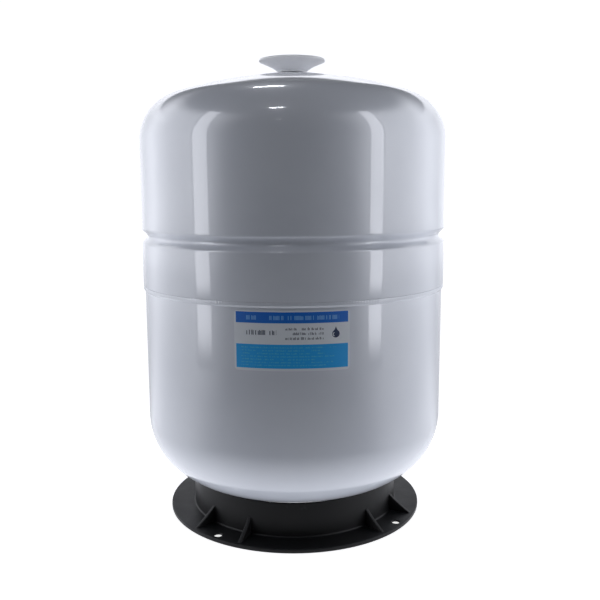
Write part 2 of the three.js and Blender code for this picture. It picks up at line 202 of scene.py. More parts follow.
def finished(name, mesh_data, sharp_angle=40):
    """The mesh as an object, faces out, smooth but for its sharp edges."""
    bmesh.ops.recalc_face_normals(mesh_data, faces=mesh_data.faces)
    mesh = bpy.data.meshes.new(name)
    mesh_data.to_mesh(mesh)
    mesh_data.free()
    mesh.shade_smooth()
    mesh.set_sharp_from_angle(angle=math.radians(sharp_angle))
    piece = bpy.data.objects.new(name, mesh)
    bpy.context.scene.collection.objects.link(piece)
    return piece


def stands_for(piece, node, material):
    """The piece takes a CAD node's place, body and finish."""
    piece.data.materials.clear()
    piece.data.materials.append(material)
    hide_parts(node)
    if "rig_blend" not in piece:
        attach(piece, BODY_OF[node])
    return piece


# ---- Shader formulas ----


class Wire:
    """A node output that takes part in arithmetic, so that a pattern reads as a formula."""

    def __init__(self, tree, socket):
        self.tree = tree
        self.socket = socket

    def math(self, operation, *others):
        node = self.tree.nodes.new("ShaderNodeMath")
        node.operation = operation
        for place, value in enumerate((self, *others)):
            plug(self.tree, node.inputs[place], value)
        return Wire(self.tree, node.outputs[0])

    def __add__(self, other):
        return self.math("ADD", other)

    def __sub__(self, other):
        return self.math("SUBTRACT", other)

    def __mul__(self, other):
        return self.math("MULTIPLY", other)

    def __truediv__(self, other):
        return self.math("DIVIDE", other)

    def above(self, limit):
        return self.math("GREATER_THAN", limit)

    def below(self, limit):
        return self.math("LESS_THAN", limit)

    def within(self, low, high):
        return self.above(low) * self.below(high)

    def either(self, other):
        return self.math("MAXIMUM", other)

    def whole(self):
        return self.math("FLOOR")

    def part(self):
        return self.math("FRACT")

    def ramp(self, start, end, low=0.0, high=1.0):
        """Low before start, high after end and smooth between them."""
        node = self.tree.nodes.new("ShaderNodeMapRange")
        node.interpolation_type = "SMOOTHSTEP"
        for place, value in enumerate((self, start, end, low, high)):
            plug(self.tree, node.inputs[place], value)
        return Wire(self.tree, node.outputs[0])


def plug(tree, socket, value):
    """Links a wire to a socket, or sets the socket's value."""
    if isinstance(value, Wire):
        tree.links.new(value.socket, socket)
    else:
        socket.default_value = value


class Material:
    """A Principled material with short ways to build its patterns."""

    def __init__(self, name, **settings):
        self.made = bpy.data.materials.new(name)
        self.made.use_nodes = True
        self.tree = self.made.node_tree
        self.shader = self.tree.nodes["Principled BSDF"]
        self.place = self.add("ShaderNodeTexCoord", "Object")
        self.set(**settings)

    def add(self, kind, output=0, inputs=None, **settings):
        node = self.tree.nodes.new(kind)
        for key, value in settings.items():
            setattr(node, key, value)
        for key, value in (inputs or {}).items():
            plug(self.tree, node.inputs[key], value)
        return Wire(self.tree, node.outputs[output])

    def set(self, **settings):
        for key, value in settings.items():
            plug(self.tree, self.shader.inputs[key.replace("_", " ")], value)

    def noise(self, size, detail=2.0, stretch=(1, 1, 1)):
        """Soft noise whose features are about a given size, in metres."""
        scaled = self.add(
            "ShaderNodeMapping", inputs={"Vector": self.place, "Scale": stretch}
        )
        inputs = {"Vector": scaled, "Scale": 1 / size, "Detail": detail, "Roughness": 0.55}
        return self.add("ShaderNodeTexNoise", "Fac", inputs)

    def mix(self, share, first, second):
        """Colour between two colours."""
        node = self.tree.nodes.new("ShaderNodeMix")
        node.data_type = "RGBA"
        plug(self.tree, node.inputs[0], share)
        plug(self.tree, node.inputs[6], first)
        plug(self.tree, node.inputs[7], second)
        return Wire(self.tree, node.outputs[2])

    def bump(self, height, depth, under=None):
        """Normal of a surface raised by height times depth, in metres."""
        inputs = {"Height": height, "Distance": depth, "Strength": 1.0}
        if under:
            inputs["Normal"] = under
        return self.add("ShaderNodeBump", 0, inputs)

    def axis(self, name):
        """One coordinate of the point, in metres."""
        return self.add("ShaderNodeSeparateXYZ", name, {"Vector": self.place})


def colour(red, green, blue):
    return (red, green, blue, 1.0)


# ---- Materials ----


def white_enamel():
    """Gloss stove enamel: faint orange peel, a long wave from drawing the sheet, dust and scuffs."""
    m = Material("white_enamel", IOR=1.5, Coat_Weight=1.0, Coat_IOR=1.5)
    tone = m.noise(60 * MM, 3.0).ramp(0.3, 0.7)
    m.set(Base_Color=m.mix(tone, colour(0.77, 0.81, 0.885), colour(0.81, 0.85, 0.92)))
    smear = m.noise(25 * MM, 4.0, (1, 1, 0.35)).ramp(0.45, 0.8)
    speck = m.noise(1.6 * MM, 2.0).ramp(0.62, 0.75)
    m.set(Roughness=smear * 0.1 + 0.34)
    m.set(Coat_Roughness=smear * 0.05 + speck * 0.04 + 0.045)
    peel = m.bump(m.noise(2.4 * MM, 1.0), 0.004 * MM)
    wave = m.bump(m.noise(32 * MM, 0.0), 0.05 * MM, peel)
    m.set(Normal=wave, Coat_Normal=wave)
    return m.made


def cap_plastic():
    """Moulded polyethylene: soft, slightly waxy, with fine flow texture."""
    m = Material("cap_plastic", IOR=1.5, Subsurface_Weight=0.85, Subsurface_Scale=14 * MM)
    m.set(Subsurface_Radius=(1.0, 1.0, 1.0))
    tone = m.noise(9 * MM, 3.0).ramp(0.35, 0.7)
    m.set(Base_Color=m.mix(tone, colour(0.94, 0.94, 0.96), colour(0.98, 0.98, 0.99)))
    m.set(Roughness=m.noise(3 * MM, 3.0) * 0.18 + 0.3)
    m.set(Normal=m.bump(m.noise(0.6 * MM, 3.0), 0.01 * MM))
    return m.made


def stand_plastic():
    """Black polypropylene: spark-eroded grain, dull patches and pale rub marks."""
    m = Material("stand_plastic", IOR=1.49, Specular_IOR_Level=0.22)
    rub = m.noise(7 * MM, 6.0).ramp(0.62, 0.78)
    m.set(Base_Color=m.mix(rub, colour(0.003, 0.0032, 0.0036), colour(0.012, 0.0125, 0.014)))
    m.set(Roughness=m.noise(14 * MM, 4.0) * 0.16 + rub * 0.12 + 0.36)
    grain = m.bump(m.noise(0.55 * MM, 2.0), 0.03 * MM)
    m.set(Normal=m.bump(m.noise(18 * MM, 1.0), 0.12 * MM, grain))
    return m.made


def valve_cap_plastic():
    """Blue moulded plastic with a satin face and paler rubbed ribs."""
    m = Material("valve_cap_plastic", IOR=1.5)
    rub = m.noise(2.2 * MM, 4.0).ramp(0.58, 0.75)
    m.set(Base_Color=m.mix(rub, colour(0.02, 0.12, 0.40), colour(0.06, 0.20, 0.50)))
    m.set(Roughness=rub * 0.2 + 0.32)
    m.set(Normal=m.bump(m.noise(0.4 * MM, 2.0), 0.01 * MM))
    return m.made


def metal(name, base, dark, roughness, line_size):
    """Turned or drawn metal: fine lines round the axis, and patches of tarnish."""
    m = Material(name, Metallic=1.0)
    lines = m.noise(line_size, 2.0, (0.04, 0.04, 1))
    tarnish = m.noise(6 * MM, 4.0).ramp(0.45, 0.75)
    m.set(Base_Color=m.mix(tarnish, base, dark))
    m.set(Roughness=lines * 0.18 + tarnish * 0.12 + roughness)
    m.set(Normal=m.bump(lines, 0.008 * MM))
    return m.made


def rubber():
    """Matt moulded rubber with a faint grey bloom."""
    m = Material("black_rubber", IOR=1.5)
    bloom = m.noise(12 * MM, 5.0).ramp(0.4, 0.8)
    m.set(Base_Color=m.mix(bloom, colour(0.012, 0.012, 0.013), colour(0.03, 0.03, 0.032)))
    m.set(Roughness=bloom * 0.15 + 0.62)
    m.set(Normal=m.bump(m.noise(0.9 * MM, 3.0), 0.03 * MM))
    return m.made


def natural_plastic(name, base, cloud_size):
    """Milky natural plastic that lets a little light in."""
    m = Material(name, IOR=1.49, Subsurface_Weight=0.3, Subsurface_Scale=2 * MM)
    cloud = m.noise(cloud_size, 3.0).ramp(0.3, 0.8)
    m.set(Base_Color=m.mix(cloud, base, colour(0.9, 0.91, 0.89)))
    m.set(Roughness=cloud * 0.12 + 0.4)
    m.set(Normal=m.bump(m.noise(0.8 * MM, 2.0), 0.015 * MM))
    return m.made


def word_marks(along, line, share, seed):
    """Marks like far-off print on each line: strokes of chance height, with word gaps. No letters."""
    tree = along.tree
    strokes = along * 1.9
    words = along * 0.21

    def chance(value):
        node = tree.nodes.new("ShaderNodeTexWhiteNoise")
        node.noise_dimensions = "1D"
        plug(tree, node.inputs["W"], value + line.whole() * 57.0 + seed)
        return Wire(tree, node.outputs[0])

    ink = chance(strokes.whole()).above(0.22) * strokes.part().below(0.72)
    word = chance(words.whole() + 300.0).above(0.05)
    gap = words.part().above(0.12)
    height = chance(strokes.whole() + 900.0) * 0.3 + share
    return ink * gap * word * line.part().within(0.12, height)


def label_print():
    """Printed vinyl under a clear film: three bands, stroke marks and a water drop. Millimetres."""
    m = Material("label_vinyl", IOR=1.5, Coat_Weight=1.0, Coat_Roughness=0.06)
    place = m.add("ShaderNodeUVMap")
    u = m.add("ShaderNodeSeparateXYZ", "X", {"Vector": place})
    v = m.add("ShaderNodeSeparateXYZ", "Y", {"Vector": place})

    def area(left, right, low, high):
        return u.within(left, right) * v.within(low, high)

    half_wide = 36.9
    title_top = 18.9
    title_foot = 11.7
    panel_foot = -2.2
    notes_foot = -18.0
    title = area(-half_wide, half_wide, title_foot, title_top)
    panel = area(-half_wide, half_wide, panel_foot, title_foot)
    notes = area(-half_wide, half_wide, notes_foot, panel_foot)

    large = u * 0.62
    large_pitch = 3.6
    name_foot = 3.6
    title_marks = word_marks(large, (v - 13.4) / large_pitch, 0.78, 3.0)
    title_marks = title_marks * area(-34, 33, 13.6, 16.6)
    name_marks = word_marks(large, (v - name_foot) / large_pitch, 0.8, 17.0)
    name_marks = name_marks * area(-30.5, -10, name_foot, name_foot + large_pitch)

    fine_foot = 0.6
    fine_marks = word_marks(u, (v - fine_foot) / 3.1, 0.42, 23.0)
    fine_marks = fine_marks * area(-4.5, 20.5, fine_foot, 9.8)

    note_foot = -16.6
    note_lines = (v - note_foot) / 1.95
    ragged = (note_lines.whole() * 2.399).math("SINE") * 7.0 + 22.0
    note_marks = word_marks(u * 1.2, note_lines, 0.35, 41.0) * u.above(-33.5)
    note_marks = note_marks * (u - ragged).below(0.0) * v.within(note_foot, -3.0)

    drop_u = u - 28.6
    drop_v = v - 5.0
    tip = 4.6
    belly = -0.7
    over_belly = drop_v - belly
    flank = drop_v.ramp(-2.2, tip, 2.9, 0.0)
    pointed = (drop_u.math("ABSOLUTE") - flank).below(0.0) * drop_v.within(belly, tip)
    drop = pointed.either((drop_u * drop_u + over_belly * over_belly).below(6.4))
    shine_u = drop_u + 0.9
    shine_v = drop_v + 1.0
    shine = (shine_u * shine_u + shine_v * shine_v).within(0.5, 1.5) * shine_u.below(0.0)
    drop = drop * (shine * -1.0 + 1.0)

    dark_blue = colour(0.001, 0.17, 0.72)
    mid_blue = colour(0.014, 0.44, 1.0)
    layers = (
        (title, dark_blue),
        (notes, mid_blue),
        (title * title_marks, colour(0.20, 0.50, 0.95)),
        (notes * note_marks * 0.8, colour(0.12, 0.66, 0.97)),
        (panel * name_marks, colour(0.05, 0.07, 0.12)),
        (panel * fine_marks * 0.85, colour(0.02, 0.03, 0.07)),
        (panel * drop, colour(0.03, 0.05, 0.12)),
    )
    paint = colour(0.90, 0.95, 1.0)
    for share, ink in layers:
        paint = m.mix(share, paint, ink)
    m.set(Base_Color=paint)
    m.set(Roughness=m.noise(6 * MM, 3.0) * 0.1 + 0.4)
    ripple = m.bump(m.noise(9 * MM, 1.0), 0.03 * MM)
    m.set(Normal=ripple, Coat_Normal=ripple)
    return m.made


STAINLESS = (colour(0.62, 0.63, 0.64), colour(0.45, 0.45, 0.45))
ZINC = (colour(0.52, 0.53, 0.54), colour(0.34, 0.34, 0.33))
WIRE = (colour(0.55, 0.56, 0.57), colour(0.38, 0.37, 0.36))
BRASS = (colour(0.70, 0.53, 0.22), colour(0.42, 0.28, 0.10))

FINISH = {
    "white_enamel": white_enamel(),
    "cap_plastic": cap_plastic(),
    "stand_plastic": stand_plastic(),
    "valve_cap_plastic": valve_cap_plastic(),
    "liner_plastic": natural_plastic("liner_plastic", colour(0.74, 0.77, 0.74), 22 * MM),
    "seal_plastic": natural_plastic("seal_plastic", colour(0.82, 0.82, 0.80), 3 * MM),
    "stainless": metal("stainless", *STAINLESS, 0.2, 0.25 * MM),
    "clench_steel": metal("clench_steel", *ZINC, 0.35, 0.5 * MM),
    "spring_steel": metal("spring_steel", *WIRE, 0.22, 0.2 * MM),
    "valve_brass": metal("valve_brass", *BRASS, 0.2, 0.2 * MM),
    "black_rubber": rubber(),
    "label_vinyl": label_print(),
}


def turned_piece(node, outline, steps=ROUND_STEPS, swell=None, place=None):
    """A turned piece that stands for a CAD node, set in place by an optional matrix."""
    piece = lathe(f"{node}_fine", outline, steps, swell)
    if place:
        piece.data.transform(place)
    return stands_for(piece, node, FINISH[SLOT_OF[node]])


# ---- Tank shells ----

LOWER_TANGENT = foot("lower_shell") + crown_rise(LOWER_RADIUS, **LOWER_HEAD)
UPPER_TANGENT = top("upper_shell") - crown_rise(TANK_RADIUS, **UPPER_HEAD, at=PORT_HOLE)


def upper_wall(wall):
    """Side and head of the upper shell or liner, a wall's distance inside its outer face."""
    radius = TANK_RADIUS - wall
    head = dished(radius, UPPER_TANGENT, **inset(UPPER_HEAD, wall), hole=PORT_HOLE)
    return beaded(radius) + head


def upper_shell():
    edge = foot("upper_shell")
    outside = [(TANK_RADIUS, edge)] + upper_wall(0)
    inside = [(TANK_RADIUS - SHEET, edge)] + upper_wall(SHEET)
    turned_piece("upper_shell", softened(outside + inside[::-1], 0.35 * MM))


def hanging(wall):
    """The lower shell's dished head, from its tangent line down to the axis."""
    return dished(LOWER_RADIUS - wall, LOWER_TANGENT, **inset(LOWER_HEAD, wall), way=-1)


def lower_shell():
    lap = top("lower_shell")
    outside = hanging(0)[::-1] + [(LOWER_RADIUS, lap)]
    inside = [(LOWER_RADIUS - SHEET, lap)] + hanging(SHEET)
    turned_piece("lower_shell", softened(outside + inside, 0.35 * MM))


def seam_weld():
    """Sloped weld below the skirt's edge, with the fine ripples that the torch leaves."""
    high = top("seam_weld")
    low = foot("seam_weld") - 1.3 * MM
    slope = 1.9 * MM
    ripple = 0.06 * MM
    root = LOWER_RADIUS + GAP / 2
    crest = TANK_RADIUS - 0.05 * MM
    across = crest - root
    ripples = 340

    def swell(r, angle, z):
        share = (r - root) / across
        wander = math.sin(7 * angle) + math.sin(11 * angle + 2)
        return r - share * ripple * (1 + math.cos(ripples * angle + wander))

    outline = [(root, high), (root, low), (crest, low + slope), (crest, high)]
    turned_piece("seam_weld", softened(outline, 0.25 * MM), ripples * 5, swell)


# ---- Water chamber ----

LINER_FACE = SHEET + GAP
LINER_BACK = LINER_FACE + 1.5 * MM


def liner():
    turned_piece("liner", softened(upper_wall(LINER_FACE) + upper_wall(LINER_BACK)[::-1], 0.3 * MM))


def diaphragm():
    """Rubber dome that hangs from its clenched hem and turns inside out as water comes in."""
    wall = 2 * MM
    hem_z = foot("diaphragm")
    hem_radius = reach("diaphragm")
    hem_top = 2 * BEAD_Z - hem_z
    lean = 8 * MM
    lean_top = hem_top + 31 * MM
    tangent = 276 * MM

    def side(inwards):
        radius = hem_radius - inwards
        shares = [i / 16 for i in range(17)]
        leaning = [
            (radius - lean * t * t * (3 - 2 * t), hem_top + (lean_top - hem_top) * t)
            for t in shares
        ]
        head = dished(radius - lean, tangent, **inset(UPPER_HEAD, LINER_BACK + GAP + inwards + lean))
        return [(radius, hem_z)] + beaded(radius) + leaning + head

    outline = softened(side(0) + side(wall)[::-1], 0.5 * MM)
    piece = lathe("diaphragm_fine", outline)
    start = (0, 0, hem_top + wall)
    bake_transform(piece, BODY_OF["clench_ring"], BODY_OF["diaphragm"], start, (0, 0, top("diaphragm")))
    stands_for(piece, "diaphragm", FINISH["black_rubber"])


def clench_ring():
    low, high = foot("clench_ring"), top("clench_ring")
    outer = reach("clench_ring")
    wall = 1.5 * MM
    outside = [(outer, low)] + beaded(outer) + [(outer, high)]
    inside = [(outer - wall, low)] + beaded(outer - wall) + [(outer - wall, high)]
    turned_piece("clench_ring", softened(outside + inside[::-1], 0.4 * MM))


# ---- Water port ----

NIPPLE_RADIUS = 6.85 * MM
NIPPLE_BORE = 3.75 * MM


def thread(crest, depth, pitch, low, high):
    """Radius of a helical thread with a flat crest and root, fading out at both ends."""

    def swell(r, angle, z):
        if abs(r - crest) > 0.01 * MM or not low < z < high:
            return r
        turn = (z / pitch - angle / (2 * math.pi)) % 1
        groove = min(1, max(0, 1.45 * abs(2 * turn - 1) - 0.25))
        fade = min(1, (z - low) / pitch, (high - z) / pitch)
        return r - depth * groove * fade

    return swell


def rungs(radius, low, high, step):
    """Many points up a straight wall, for a swell to move."""
    count = max(2, round((high - low) / step))
    return [(radius, low + (high - low) * i / count) for i in range(count + 1)]


def water_port():
    low, high = foot("water_port"), top("water_port")
    flange_top = low + 2.4 * MM
    groove_floor = flange_top - 1.5 * MM
    thread_foot = top("port_lock_ring") + 0.3 * MM
    groove_outer = 11.1 * MM
    groove_inner = 8.9 * MM
    chamfer = 0.7 * MM
    thread_top = high - chamfer - 0.05 * MM
    outline = [
        (NIPPLE_BORE, low),
        (reach("water_port"), low),
        (reach("water_port"), flange_top),
        (groove_outer, flange_top),
        (groove_outer, groove_floor),
        (groove_inner, groove_floor),
        (groove_inner, flange_top),
        (NIPPLE_RADIUS, flange_top),
        *rungs(NIPPLE_RADIUS, thread_foot, thread_top, 0.11 * MM),
        (NIPPLE_RADIUS - chamfer, high),
        (NIPPLE_BORE, high),
    ]
    swell = thread(NIPPLE_RADIUS, 0.6 * MM, 1.411 * MM, thread_foot, thread_top + MM)
    turned_piece("water_port", softened(outline, 0.2 * MM, 2), 144, swell)


def port_o_ring():
    low, high = foot("port_o_ring"), top("port_o_ring")
    wire = (high - low) / 2
    circle = reach("port_o_ring") - wire
    turned_piece("port_o_ring", arc((circle, low + wire), wire, 0, 2 * math.pi, 20)[:-1], 144)


def port_lock_ring():
    """Push-on ring: a flat rim and sprung teeth that bite the nipple."""
    low, high = foot("port_lock_ring"), top("port_lock_ring")
    rim = reach("port_lock_ring")
    bore = NIPPLE_RADIUS + GAP
    bevel = 0.7 * MM
    teeth = 8
    slot_depth = 1.3 * MM

    def swell(r, angle, z):
        slot = abs(math.sin(teeth * angle / 2)) < 0.16
        return r + slot_depth if slot and r < bore + 0.4 * MM else r

    outline = [
        (bore, low),
        (rim, low),
        (rim, high - bevel),
        (rim - bevel, high),
        (bore, high),
    ]
    turned_piece("port_lock_ring", softened(outline, 0.15 * MM), 192, swell)


def port_cap():
    """Mushroom cap: a crowned disc whose underside flares down to a stem over the nipple."""
    low, high = foot("port_cap"), top("port_cap")
    radius = reach("port_cap")
    rim_foot = high - 3 * MM
    rim_top = rim_foot + 1.6 * MM
    stem = 11 * MM
    bore = 7.15 * MM
    bore_top = top("water_port") + 0.4 * MM
    start = Vector((stem, low + 0.8 * MM))
    belly = Vector((stem + 2.6 * MM, rim_foot - 4.2 * MM))
    end = Vector((radius - 0.5 * MM, rim_foot))
    steps = [i / 24 for i in range(25)]
    flare = [tuple(start * (1 - t) ** 2 + belly * 2 * t * (1 - t) + end * t * t) for t in steps]
    crown = [(radius * (1 - t) * 0.97, rim_top + (high - rim_top) * (1 - (1 - t) ** 2)) for t in steps]
    gate = 1.6 * MM
    gate_floor = high - 0.35 * MM
    crown = [point for point in crown if point[0] > gate * 1.5]
    dimple = [(gate * 1.3, high), (gate, gate_floor), (0, gate_floor)]
    mouth = bore + 0.6 * MM
    outline = [
        (0, bore_top),
        (bore, bore_top),
        (bore, low + 0.9 * MM),
        (mouth, low),
        (stem, low),
        *flare,
        (radius, rim_foot + 0.8 * MM),
        *crown,
        *dimple,
    ]
    turned_piece("port_cap", softened(outline, 0.5 * MM, 6), 192)


# ---- Stand ----

STAND_COLLAR = 80.1 * MM
COLLAR_WALL = 2.5 * MM
FLANGE_THICK = 3 * MM
SCREW_CIRCLE = 93.3 * MM
SCREW_RADIUS = 2.75 * MM
FIRST_SCREW = math.radians(-36.4)
SCREWS = 4
GUSSET_OFFSET = math.radians(12.3)
GUSSET_THICK = 2.5 * MM
GUSSET_HIGH = 15.5 * MM
GUSSET_FOOT = 96.5 * MM


def under_shell(r):
    """Height of the lower shell's knuckle above the floor, at a radius."""
    knuckle = LOWER_HEAD["knuckle"]
    across = r - (LOWER_RADIUS - knuckle)
    return LOWER_TANGENT - math.sqrt(knuckle**2 - across**2)


def stand_ring():
    inner = STAND_COLLAR - COLLAR_WALL
    rim = reach("base_stand")
    lip = 2.2 * MM
    skin = 1.2 * MM
    hollow_top = FLANGE_THICK - skin
    fillet = 1.4 * MM
    collar_top = [(r, under_shell(r) - 2 * GAP) for r in (STAND_COLLAR, inner)]
    foot_fillet = arc((STAND_COLLAR + fillet, FLANGE_THICK + fillet), fillet, -math.pi / 2, -math.pi, 8)
    outline = [
        (inner, 0),
        (STAND_COLLAR + fillet, 0),
        (STAND_COLLAR + fillet, hollow_top),
        (rim - lip, hollow_top),
        (rim - lip, 0),
        (rim, 0),
        (rim, FLANGE_THICK),
        *foot_fillet,
        *collar_top,
    ]
    return lathe("stand_ring", softened(outline, 0.8 * MM, 5))


def gusset(azimuth):
    """Web from the collar down to the flange, with a slightly hollow back and soft edges."""
    mesh_data = bmesh.new()
    root = STAND_COLLAR - COLLAR_WALL / 2
    sunk = FLANGE_THICK - 0.9 * MM
    corner = Vector((STAND_COLLAR, GUSSET_HIGH))
    tip = Vector((GUSSET_FOOT, FLANGE_THICK))
    hollow = (corner + tip) / 2 - Vector((0.9, 0.5)) * MM
    steps = [i / 10 for i in range(11)]
    slope = [tuple(corner * (1 - t) ** 2 + hollow * 2 * t * (1 - t) + tip * t * t) for t in steps]
    outline = [(root, GUSSET_HIGH), *slope, (GUSSET_FOOT, sunk), (root, sunk)]
    sides = []
    for across in (-GUSSET_THICK / 2, GUSSET_THICK / 2):
        side = [mesh_data.verts.new((across, -r, z)) for r, z in outline]
        mesh_data.faces.new(side)
        sides.append(side)
    for i in range(len(outline)):
        j = (i + 1) % len(outline)
        mesh_data.faces.new((sides[0][i], sides[0][j], sides[1][j], sides[1][i]))
    bmesh.ops.recalc_face_normals(mesh_data, faces=mesh_data.faces)
    bevelled = [edge for edge in mesh_data.edges if edge.calc_face_angle(0) > math.radians(50)]
    bmesh.ops.bevel(mesh_data, geom=bevelled, offset=0.4 * MM, segments=3, profile=0.5, affect="EDGES")
    web = finished("gusset", mesh_data)
    web.data.transform(Matrix.Rotation(azimuth, 4, "Z"))
    return web


def screw_drill(azimuth):
    """Cutter for a screw hole with a shallow chamfer at its mouth."""
    over = FLANGE_THICK + 1 * MM
    chamfer = 0.5 * MM
    outline = [
        (0, -MM),
        (SCREW_RADIUS, -MM),
        (SCREW_RADIUS, FLANGE_THICK - chamfer),
        (SCREW_RADIUS + chamfer + MM, over),
        (0, over),
    ]
    drill = lathe("screw_drill", outline, 40)
    drill.data.transform(Matrix.Rotation(azimuth, 4, "Z") @ Matrix.Translation((0, -SCREW_CIRCLE, 0)))
    return drill


def combine(piece, other, operation):
    """Joins another closed piece to this one, or cuts it away, and drops the other."""
    modifier = piece.modifiers.new(operation, "BOOLEAN")
    modifier.operation = operation
    modifier.solver = "EXACT"
    modifier.object = other
    bpy.context.view_layer.update()
    evaluated = piece.evaluated_get(bpy.context.evaluated_depsgraph_get())
    mesh = bpy.data.meshes.new_from_object(evaluated)
    piece.modifiers.clear()
    piece.data = mesh
    bpy.data.objects.remove(other)


def base_stand():
    stand = stand_ring()
    for i in range(SCREWS):
        azimuth = FIRST_SCREW + 2 * math.pi * i / SCREWS
        combine(stand, gusset(azimuth - GUSSET_OFFSET), "UNION")
        combine(stand, gusset(azimuth + GUSSET_OFFSET), "UNION")
        combine(stand, screw_drill(azimuth), "DIFFERENCE")
    stand.name = "base_stand_fine"
    stand.data.shade_smooth()
    stand.data.set_sharp_from_angle(angle=math.radians(35))
    stands_for(stand, "base_stand", FINISH["stand_plastic"])


# ---- Label ----

LABEL_HALF_ANGLE = math.radians(19.1)
LABEL_AZIMUTH = math.radians(-0.6)


def front_label():
    """Thin sheet wrapped on the lower shell, with rounded corners. Its UVs are millimetres."""
    low, high = foot("front_label"), top("front_label")
    outer = -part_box("front_label")[0].y
    inner = LOWER_RADIUS + GAP / 2
    corner = 2.2 * MM
    half_wide = LABEL_HALF_ANGLE * outer
    columns = 96
    corner_steps = [corner * (1 - math.cos(math.pi / 2 * i / 8)) for i in range(9)]
    middle = [low + corner + (high - low - 2 * corner) * i / 40 for i in range(1, 40)]
    heights = [low + d for d in corner_steps] + middle + [high - d for d in corner_steps[::-1]]
    mesh_data = bmesh.new()
    uv = mesh_data.loops.layers.uv.new("print")
    grids = []
    for radius in (outer, inner):
        grid = []
        for z in heights:
            inside = max(0, corner - min(z - low, high - z))
            half = half_wide - corner + math.sqrt(corner**2 - inside**2)
            row = []
            for i in range(columns + 1):
                angle = LABEL_AZIMUTH + (2 * i / columns - 1) * half / outer
                row.append(mesh_data.verts.new((radius * math.sin(angle), -radius * math.cos(angle), z)))
            grid.append(row)
        grids.append(grid)
        for below, above in zip(grid, grid[1:]):
            for i in range(columns):
                mesh_data.faces.new((below[i], below[i + 1], above[i + 1], above[i]))
    rims = []
    for grid in grids:
        right = [row[-1] for row in grid[1:]]
        left = [row[0] for row in grid[-2:0:-1]]
        rims.append(grid[0] + right + grid[-1][-2::-1] + left)
    for i in range(len(rims[0])):
        j = (i + 1) % len(rims[0])
        mesh_data.faces.new((rims[0][i], rims[0][j], rims[1][j], rims[1][i]))
    for face in mesh_data.faces:
        for corner_loop in face.loops:
            x, y, z = corner_loop.vert.co
            along = (math.atan2(x, -y) - LABEL_AZIMUTH) * outer
            corner_loop[uv].uv = (along / MM, (z - (low + high) / 2) / MM)
    stands_for(finished("front_label_fine", mesh_data), "front_label", FINISH["label_vinyl"])


# ---- Air valve: heights run along its axis, outwards from the lower shell's surface ----

VALVE_SEAT = Vector(JOINTS["valve_cap_turn"]["pos_m"])
VALVE_AXIS = Vector(JOINTS["valve_cap_lift"]["axis"])
VALVE_TURN = Vector((0, 0, 1)).rotation_difference(VALVE_AXIS).to_matrix().to_4x4()
VALVE_FRAME = Matrix.Translation(VALVE_SEAT) @ VALVE_TURN
STEM_RADIUS = 3.85 * MM
STEM_TIP = 15 * MM
VALVE_PITCH = 0.794 * MM
BOSS_BORE = 4.6 * MM
BOSS_FACE = 2.8 * MM
HEX_FOOT = 4.1 * MM
HEX_TOP = 6.8 * MM
HEX_CORNER = 6.95 * MM
BARREL_RADIUS = 2.45 * MM
PIN_RADIUS = 0.65 * MM
COLLAR_FOOT = 12.4 * MM
LEDGE = 8.2 * MM


def valve_piece(node, outline, steps=96, swell=None):
    return turned_piece(node, outline, steps, swell, VALVE_FRAME)


def valve_boss():
    """Steel boss with the painted fillet of its weld running down to the shell."""
    spigot = 6.9 * MM
    radius = 9 * MM
    chamfer = 0.8 * MM
    weld = 2.4 * MM
    weld_foot = -0.9 * MM
    inner_end = -3 * MM
    weld_face = [
        (radius + weld * (1 - math.sin(a)), weld_foot + weld * (1 - math.cos(a)))
        for a in [math.pi / 2 * i / 8 for i in range(9)]
    ]
    outline = [
        (BOSS_BORE, inner_end),
        (spigot, inner_end),
        (spigot, weld_foot),
        *weld_face,
        (radius, BOSS_FACE - chamfer),
        (radius - chamfer, BOSS_FACE),
        (BOSS_BORE, BOSS_FACE),
    ]

    def swell(r, angle, z):
        ripple = 0.12 * MM * math.cos(26 * angle)
        return r + ripple if r > radius + 0.3 * MM else r

    valve_piece("valve_boss", softened(outline, 0.25 * MM), 208, swell)


def valve_body_o_ring():
    wire = (HEX_FOOT - BOSS_FACE - 0.1 * MM) / 2
    circle = BOSS_BORE + wire + 2 * GAP
    section = arc((circle, (HEX_FOOT + BOSS_FACE) / 2), wire, 0, 2 * math.pi, 16)[:-1]
    valve_piece("valve_body_o_ring", section)


def valve_body():
    """Brass stem: threaded tip, chamfered hexagon and a shank into the boss."""
    shank = BOSS_BORE - GAP
    airway = 2.2 * MM
    core_bore = 2.65 * MM
    inner_end = -5 * MM
    core_bore_foot = 3.5 * MM
    flat = HEX_CORNER * math.cos(math.pi / 6)
    hex_chamfer = 0.45 * MM
    chamfer = 0.5 * MM
    thread_foot = HEX_TOP + 0.6 * MM
    thread_top = STEM_TIP - chamfer - 0.02 * MM
    outline = [
        (airway, inner_end),
        (shank, inner_end),
        (shank, HEX_FOOT),
        (flat, HEX_FOOT),
        (HEX_CORNER, HEX_FOOT + hex_chamfer),
        (HEX_CORNER, HEX_TOP - hex_chamfer),
        (flat, HEX_TOP),
        (STEM_RADIUS, HEX_TOP),
        *rungs(STEM_RADIUS, thread_foot, thread_top, 0.075 * MM),
        (STEM_RADIUS - chamfer, STEM_TIP),
        (core_bore, STEM_TIP),
        (core_bore, core_bore_foot),
        (airway, core_bore_foot),
    ]
    stem_thread = thread(STEM_RADIUS, 0.4 * MM, VALVE_PITCH, thread_foot, thread_top + 0.6 * MM)

    def swell(r, angle, z):
        if r > shank + 0.01 * MM and z > BOSS_FACE:
            from_flat = (angle + math.pi / 6) % (math.pi / 3) - math.pi / 6
            return min(r, flat / math.cos(from_flat))
        return stem_thread(r, angle, z)

    valve_piece("valve_body", softened(outline, 0.12 * MM, 2), 144, swell)


